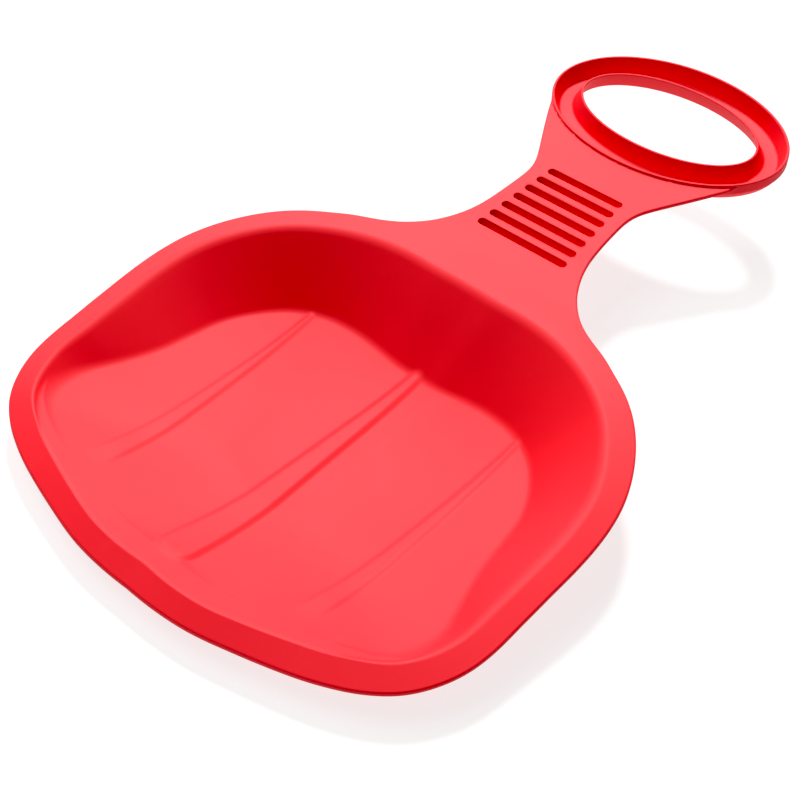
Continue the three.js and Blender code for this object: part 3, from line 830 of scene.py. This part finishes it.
def sweptSection(tree, value, rotation=None):
    # the drawn section swept round a unit circle, with each point's place on the two
    nodes, links = tree.nodes, tree.links
    section = nodes.new("GeometryNodeMeshToCurve")
    links.new(value["Geometry"], section.inputs[0])
    position = nodes.new("GeometryNodeInputPosition").outputs[0]
    profile, profilePlace = captured(tree, section.outputs[0], "VECTOR", position)
    circle = nodes.new("GeometryNodeCurvePrimitiveCircle")
    links.new(value["Stations"], circle.inputs["Resolution"])
    circle.inputs["Radius"].default_value = 1
    unitCircle = circle.outputs[0]
    if rotation:
        turned = nodes.new("GeometryNodeTransform")
        links.new(unitCircle, turned.inputs["Geometry"])
        links.new(rotation, turned.inputs["Rotation"])
        unitCircle = turned.outputs[0]
    path, pathPlace = captured(tree, unitCircle, "VECTOR", position)
    swept = nodes.new("GeometryNodeCurveToMesh")
    links.new(path, swept.inputs["Curve"])
    links.new(profile, swept.inputs["Profile Curve"])
    return swept.outputs[0], separated(tree, pathPlace), separated(tree, profilePlace), position


def closeTree(tree, geometry, inputs, outputs):
    smooth = tree.nodes.new("GeometryNodeSetShadeSmooth")
    real = tree.nodes.new("GeometryNodeRealizeInstances")
    painted = tree.nodes.new("GeometryNodeSetMaterial")
    tree.links.new(geometry, smooth.inputs["Geometry"])
    tree.links.new(smooth.outputs[0], real.inputs[0])
    tree.links.new(real.outputs[0], painted.inputs["Geometry"])
    tree.links.new(inputs.outputs["Material"], painted.inputs["Material"])
    tree.links.new(painted.outputs[0], outputs.inputs[0])


def grown(name, tree, points, edges, values):
    # runs a tree on a drawn section and keeps the result as a plain mesh
    mesh = bpy.data.meshes.new(name + "_section")
    mesh.from_pydata([tuple(p) for p in points], edges, [])
    holder = bpy.data.objects.new(name + "_section", mesh)
    scene.collection.objects.link(holder)
    modifier = holder.modifiers.new("shape", "NODES")
    modifier.node_group = tree
    for item in tree.interface.items_tree:
        if item.item_type == "SOCKET" and item.in_out == "INPUT" and item.name in values:
            modifier[item.identifier] = values[item.name]
    evaluated = holder.evaluated_get(bpy.context.evaluated_depsgraph_get())
    made = bpy.data.meshes.new_from_object(evaluated)
    holder.modifiers.remove(modifier)
    bpy.data.objects.remove(holder)
    made.name = name
    made.calc_loop_triangles()
    corners = [[made.vertices[v].co for v in triangle.vertices] for triangle in made.loop_triangles]
    volume = sum(a.dot(b.cross(c)) for a, b, c in corners)
    if volume < 0:
        made.flip_normals()
    return bpy.data.objects.new(name, made)


def quadraticFit(start, end, centre):
    ys = np.linspace(start, end, 60)
    bend, slope, base = np.polyfit(ys - centre, crestHeight(ys), 2)
    return float(base), float(slope), float(bend)


def heightSockets(calc, inputs, y, centre):
    along = calc("SUBTRACT", y, centre)
    bend = calc("MULTIPLY", calc("MULTIPLY", along, along), inputs.outputs["Bend"])
    slope = calc("MULTIPLY", along, inputs.outputs["Slope"])
    return calc("ADD", calc("ADD", inputs.outputs["Base"], slope), bend)


# grip grooves
def grooveTree():
    tree, inputs, outputs = startTree("gripGrooves", [
        "Count", "Pitch", "First Y", "Half Length", "Shortening", "Radius", "Stations",
        "Base", "Slope", "Bend", "Middle", "Material"])
    calc = calculator(tree)
    nodes, links = tree.nodes, tree.links
    value = inputs.outputs
    half = calc("DIVIDE", math.pi, value["Stations"])
    swept, (ux, uy, _), (out, _, down), position = sweptSection(tree, value, combined(tree, 0, 0, half))
    reach = calc("ADD", value["Radius"], out)
    straight = calc("SUBTRACT", value["Half Length"], value["Radius"])
    x = calc("ADD", calc("MULTIPLY", calc("SIGN", ux), straight), calc("MULTIPLY", reach, ux))
    y = calc("MULTIPLY", reach, uy)
    trough = moved(tree, swept, combined(tree, x, y, down))
    line = nodes.new("GeometryNodeMeshLine")
    links.new(value["Count"], line.inputs["Count"])
    links.new(combined(tree, 0, value["First Y"], 0), line.inputs["Start Location"])
    links.new(combined(tree, 0, value["Pitch"], 0), line.inputs["Offset"])
    copies = nodes.new("GeometryNodeInstanceOnPoints")
    links.new(line.outputs[0], copies.inputs["Points"])
    links.new(trough, copies.inputs["Instance"])
    index = nodes.new("GeometryNodeInputIndex").outputs[0]
    numbered, number = captured(tree, copies.outputs[0], "INT", index, "INSTANCE")
    real = nodes.new("GeometryNodeRealizeInstances")
    links.new(numbered, real.inputs[0])
    px, py, pz = separated(tree, position)
    shorter = calc("MULTIPLY", calc("MULTIPLY", calc("SIGN", px), value["Shortening"]), number)
    z = calc("ADD", pz, heightSockets(calc, inputs, py, value["Middle"]))
    placed = moved(tree, real.outputs[0], combined(tree, calc("SUBTRACT", px, shorter), py, z))
    merged = nodes.new("GeometryNodeMergeByDistance")
    links.new(placed, merged.inputs["Geometry"])
    merged.inputs["Distance"].default_value = groove["mergeGap"]
    closeTree(tree, merged.outputs[0], inputs, outputs)
    return tree


def grooveSection():
    radius, lip, depth = groove["width"] / 2, groove["lip"], groove["depth"]
    low, wall, outer = groove["bottomRound"], groove["wall"], groove["outerRound"]
    draft, middle, steps = groove["draft"], groove["middle"], groove["roundSteps"]
    turns = [math.pi / 2 * k / steps for k in range(steps + 1)]
    points = [(-radius, -depth), (-radius + middle, -depth)]
    points += [(-draft - low + low * math.sin(a), -depth + low - low * math.cos(a)) for a in turns]
    points += [(lip - lip * math.cos(a), -lip + lip * math.sin(a)) for a in turns]
    points += [(lip + groove["flat"], 0), (lip + groove["flat"], -groove["edgeDepth"]),
               (wall, -groove["underDepth"]), (wall, -groove["wallDepth"])]
    points += [(wall - draft - outer + outer * math.cos(a), -depth - wall + outer - outer * math.sin(a))
               for a in turns]
    points += [(-radius + middle, -depth - wall), (-radius, -depth - wall)]
    return [(x, 0, z) for x, z in points]


grooveMiddle = groove["firstY"] + groove["pitch"] * (groove["count"] - 1) / 2
base, slope, bend = quadraticFit(groove["fitFrom"], groove["fitTo"], grooveMiddle)
section = grooveSection()
grooves = grown("grip_grooves", grooveTree(), section, [(i, i + 1) for i in range(len(section) - 1)], {
    "Count": groove["count"], "Pitch": groove["pitch"], "First Y": groove["firstY"],
    "Half Length": groove["firstHalfLength"], "Shortening": groove["shortening"],
    "Radius": groove["width"] / 2, "Stations": groove["segments"],
    "Base": base, "Slope": slope, "Bend": bend, "Middle": grooveMiddle, "Material": sliderPlastic})


def toMetres(obj):
    # from the pan's middle in millimetres to the shared frame
    obj.data.transform(Matrix.Scale(0.001, 4) @ Matrix.Translation((0, -middleY, 0)))


toMetres(grooves)
grooves.data.set_sharp_from_angle(angle=math.radians(groove["sharpAngle"]))
finishPiece(grooves, ["handle_neck"], sliderPlastic)


# grip ring, a channel swept round an oval
def roundedSection(corners):
    # corners: (x, flag, depth, radius); the flag says which edge of the ring x is measured from
    width, steps = ring["sectionWidth"], ring["cornerSteps"]
    real = [np.array([x if flag == 0 else width - x, -depth]) for x, flag, depth, _ in corners]
    points = []
    for i, (x, flag, depth, radius) in enumerate(corners):
        here, before, after = real[i], real[i - 1], real[(i + 1) % len(real)]
        toBefore = (before - here) / np.linalg.norm(before - here)
        toAfter = (after - here) / np.linalg.norm(after - here)
        half = math.acos(np.clip(toBefore @ toAfter, -1, 1)) / 2
        shorter = min(np.linalg.norm(before - here), np.linalg.norm(after - here))
        length = min(radius / math.tan(half), 0.49 * shorter)  # two arcs never meet
        tight = length * math.tan(half)
        middle = (toBefore + toAfter) / np.linalg.norm(toBefore + toAfter)
        centre = here + middle * (tight / math.sin(half))
        start, end = here + toBefore * length - centre, here + toAfter * length - centre
        for k in range(steps + 1):
            t = k / steps
            arc = start * (1 - t) + end * t
            arc = arc / np.linalg.norm(arc) * tight
            p = centre + arc
            points.append((p[0] if flag == 0 else width - p[0], flag, p[1]))
    return points


def ringSection():
    lip, depth, thick = ring["lip"], ring["depth"], sheet["thickness"]
    floor = depth - thick
    outerLean, innerLean, fillet = ring["outerLean"], ring["innerLean"], ring["fillet"]
    top = lip * ring["lipRoundShare"]
    return roundedSection([
        (0, 0, 0, top), (lip, 0, 0, top), (lip + outerLean, 0, floor, fillet),
        (lip + innerLean, 1, floor, fillet), (lip, 1, 0, top), (0, 1, 0, top),
        (innerLean, 1, depth, ring["innerRound"]), (outerLean, 0, depth, ring["outerRound"]),
        (0, 0, ring["skirt"], ring["skirtRound"])])


def ringTree():
    tree, inputs, outputs = startTree("gripRing", [
        "Stations", "Half Width", "Half Depth", "Opening Half Width", "Opening Half Depth",
        "Centre", "Rise", "Base", "Slope", "Bend", "Material"])
    calc = calculator(tree)
    value = inputs.outputs
    swept, (ux, uy, _), (inward, flag, down), _ = sweptSection(tree, value)
    outerX, outerY = calc("MULTIPLY", ux, value["Half Width"]), calc("MULTIPLY", uy, value["Half Depth"])
    innerX = calc("MULTIPLY", ux, value["Opening Half Width"])
    innerY = calc("MULTIPLY", uy, value["Opening Half Depth"])
    acrossX, acrossY = calc("SUBTRACT", innerX, outerX), calc("SUBTRACT", innerY, outerY)
    width = calc("SQRT", calc("ADD", calc("MULTIPLY", acrossX, acrossX), calc("MULTIPLY", acrossY, acrossY)))
    fromOuter = calc("DIVIDE", inward, width)
    share = calc("ADD", calc("MULTIPLY", fromOuter, calc("SUBTRACT", 1, flag)),
                 calc("MULTIPLY", calc("SUBTRACT", 1, fromOuter), flag))
    x = calc("ADD", outerX, calc("MULTIPLY", acrossX, share))
    y = calc("ADD", calc("ADD", outerY, calc("MULTIPLY", acrossY, share)), value["Centre"])
    z = calc("ADD", calc("ADD", heightSockets(calc, inputs, y, value["Centre"]), value["Rise"]), down)
    closeTree(tree, moved(tree, swept, combined(tree, x, y, z)), inputs, outputs)
    return tree


base, slope, bend = quadraticFit(ring["fitFrom"], ring["fitTo"], ring["centreY"])
section = ringSection()
closed = [(i, (i + 1) % len(section)) for i in range(len(section))]
gripRing = grown("grip_ring", ringTree(), section, closed, {
    "Stations": ring["stations"], "Half Width": ring["halfWidth"], "Half Depth": ring["halfDepth"],
    "Opening Half Width": ring["openingHalfWidth"], "Opening Half Depth": ring["openingHalfDepth"],
    "Centre": ring["centreY"], "Rise": ring["rise"], "Base": base, "Slope": slope, "Bend": bend,
    "Material": sliderPlastic})
toMetres(gripRing)
finishPiece(gripRing, ["grip_ring"], sliderPlastic)
print("grip made")

# floor, light and camera
studio = {
    "paper": (0.22, 0.22, 0.22, 1), "paperRoughness": 0.9, "paperSheen": 0.1, "paperReach": 6,
    "paperGlow": 0.95, "paperSeenChange": -0.17, "airStrength": 0.15, "airSeen": 1.0,
    # each lamp's direction from the origin, distance, size and power
    "lamps": {"key": ((-0.43, 0.625, 1.0), 6.0, 0.9, 430.0),
              "top": ((-0.35, -0.12, 0.9), 2.5, 2.0, 32.0),
              "back": ((-0.82, 0.5, 0.3), 4.0, 3.6, 90.0)},
}


def seenDifferently(tree, strength, change, socket):
    # one strength as a light, and that plus the change where the camera sees it
    path = tree.nodes.new("ShaderNodeLightPath")
    total = tree.nodes.new("ShaderNodeMath")
    total.operation = "MULTIPLY_ADD"
    total.inputs[1].default_value = change
    total.inputs[2].default_value = strength
    tree.links.new(path.outputs["Is Camera Ray"], total.inputs[0])
    tree.links.new(total.outputs[0], socket)


reach = studio["paperReach"]
floorMesh = bpy.data.meshes.new("studio_floor")
floorMesh.from_pydata([(-reach, -reach, 0), (reach, -reach, 0), (reach, reach, 0), (-reach, reach, 0)],
                      [], [(0, 1, 2, 3)])
studioFloor = bpy.data.objects.new("studio_floor", floorMesh)
scene.collection.objects.link(studioFloor)
paper = bpy.data.materials.new("studioPaper")
paper.use_nodes = True
paperInputs = paper.node_tree.nodes["Principled BSDF"].inputs
paperInputs["Base Color"].default_value = studio["paper"]
paperInputs["Roughness"].default_value = studio["paperRoughness"]
paperInputs["Specular IOR Level"].default_value = studio["paperSheen"]
paperInputs["Emission Color"].default_value = (1, 1, 1, 1)
# the paper glows so that shadows stay pale, and a little less where the camera sees it
seenDifferently(paper.node_tree, studio["paperGlow"], studio["paperSeenChange"],
                paperInputs["Emission Strength"])
floorMesh.materials.append(paper)

world = bpy.data.worlds.new("studioAir")
world.use_nodes = True
airInputs = world.node_tree.nodes["Background"].inputs
airInputs["Color"].default_value = (1, 1, 1, 1)
# the air lights the slider softly, and looks white where the camera sees it
seenDifferently(world.node_tree, studio["airStrength"], studio["airSeen"] - studio["airStrength"],
                airInputs["Strength"])
scene.world = world
world.cycles_visibility.glossy = False


def softbox(name, toward, distance, size, power):
    light = bpy.data.lights.new(name, "AREA")
    light.shape = "DISK"
    light.size = size
    light.energy = power
    lamp = bpy.data.objects.new(name, light)
    direction = Vector(toward).normalized()
    lamp.location = direction * distance
    lamp.rotation_euler = direction.to_track_quat("Z", "Y").to_euler()
    scene.collection.objects.link(lamp)


for name, lamp in studio["lamps"].items():
    softbox(name, *lamp)

camera = {"place": (0.4755, -0.59994, 0.70243), "azimuth": 43.51, "elevation": 44.36, "roll": -0.61,
          "lens": 71.32, "sensor": 36, "shiftX": 0.0601, "shiftY": 0.0026}
cameraData = bpy.data.cameras.new("camera")
cameraData.lens = camera["lens"]
cameraData.sensor_width = camera["sensor"]
cameraData.shift_x = camera["shiftX"]
cameraData.shift_y = camera["shiftY"]
cameraObject = bpy.data.objects.new("camera", cameraData)
az, el, roll = (math.radians(camera[key]) for key in ("azimuth", "elevation", "roll"))
back = Vector((math.sin(az) * math.cos(el), -math.cos(az) * math.cos(el), math.sin(el)))
right = Vector((math.cos(az), math.sin(az), 0))
up = back.cross(right)
rolledRight = right * math.cos(roll) + up * math.sin(roll)
rolledUp = up * math.cos(roll) - right * math.sin(roll)
turn = Matrix((rolledRight, rolledUp, back)).transposed()
cameraObject.matrix_world = Matrix.Translation(camera["place"]) @ turn.to_4x4()
scene.collection.objects.link(cameraObject)
scene.camera = cameraObject
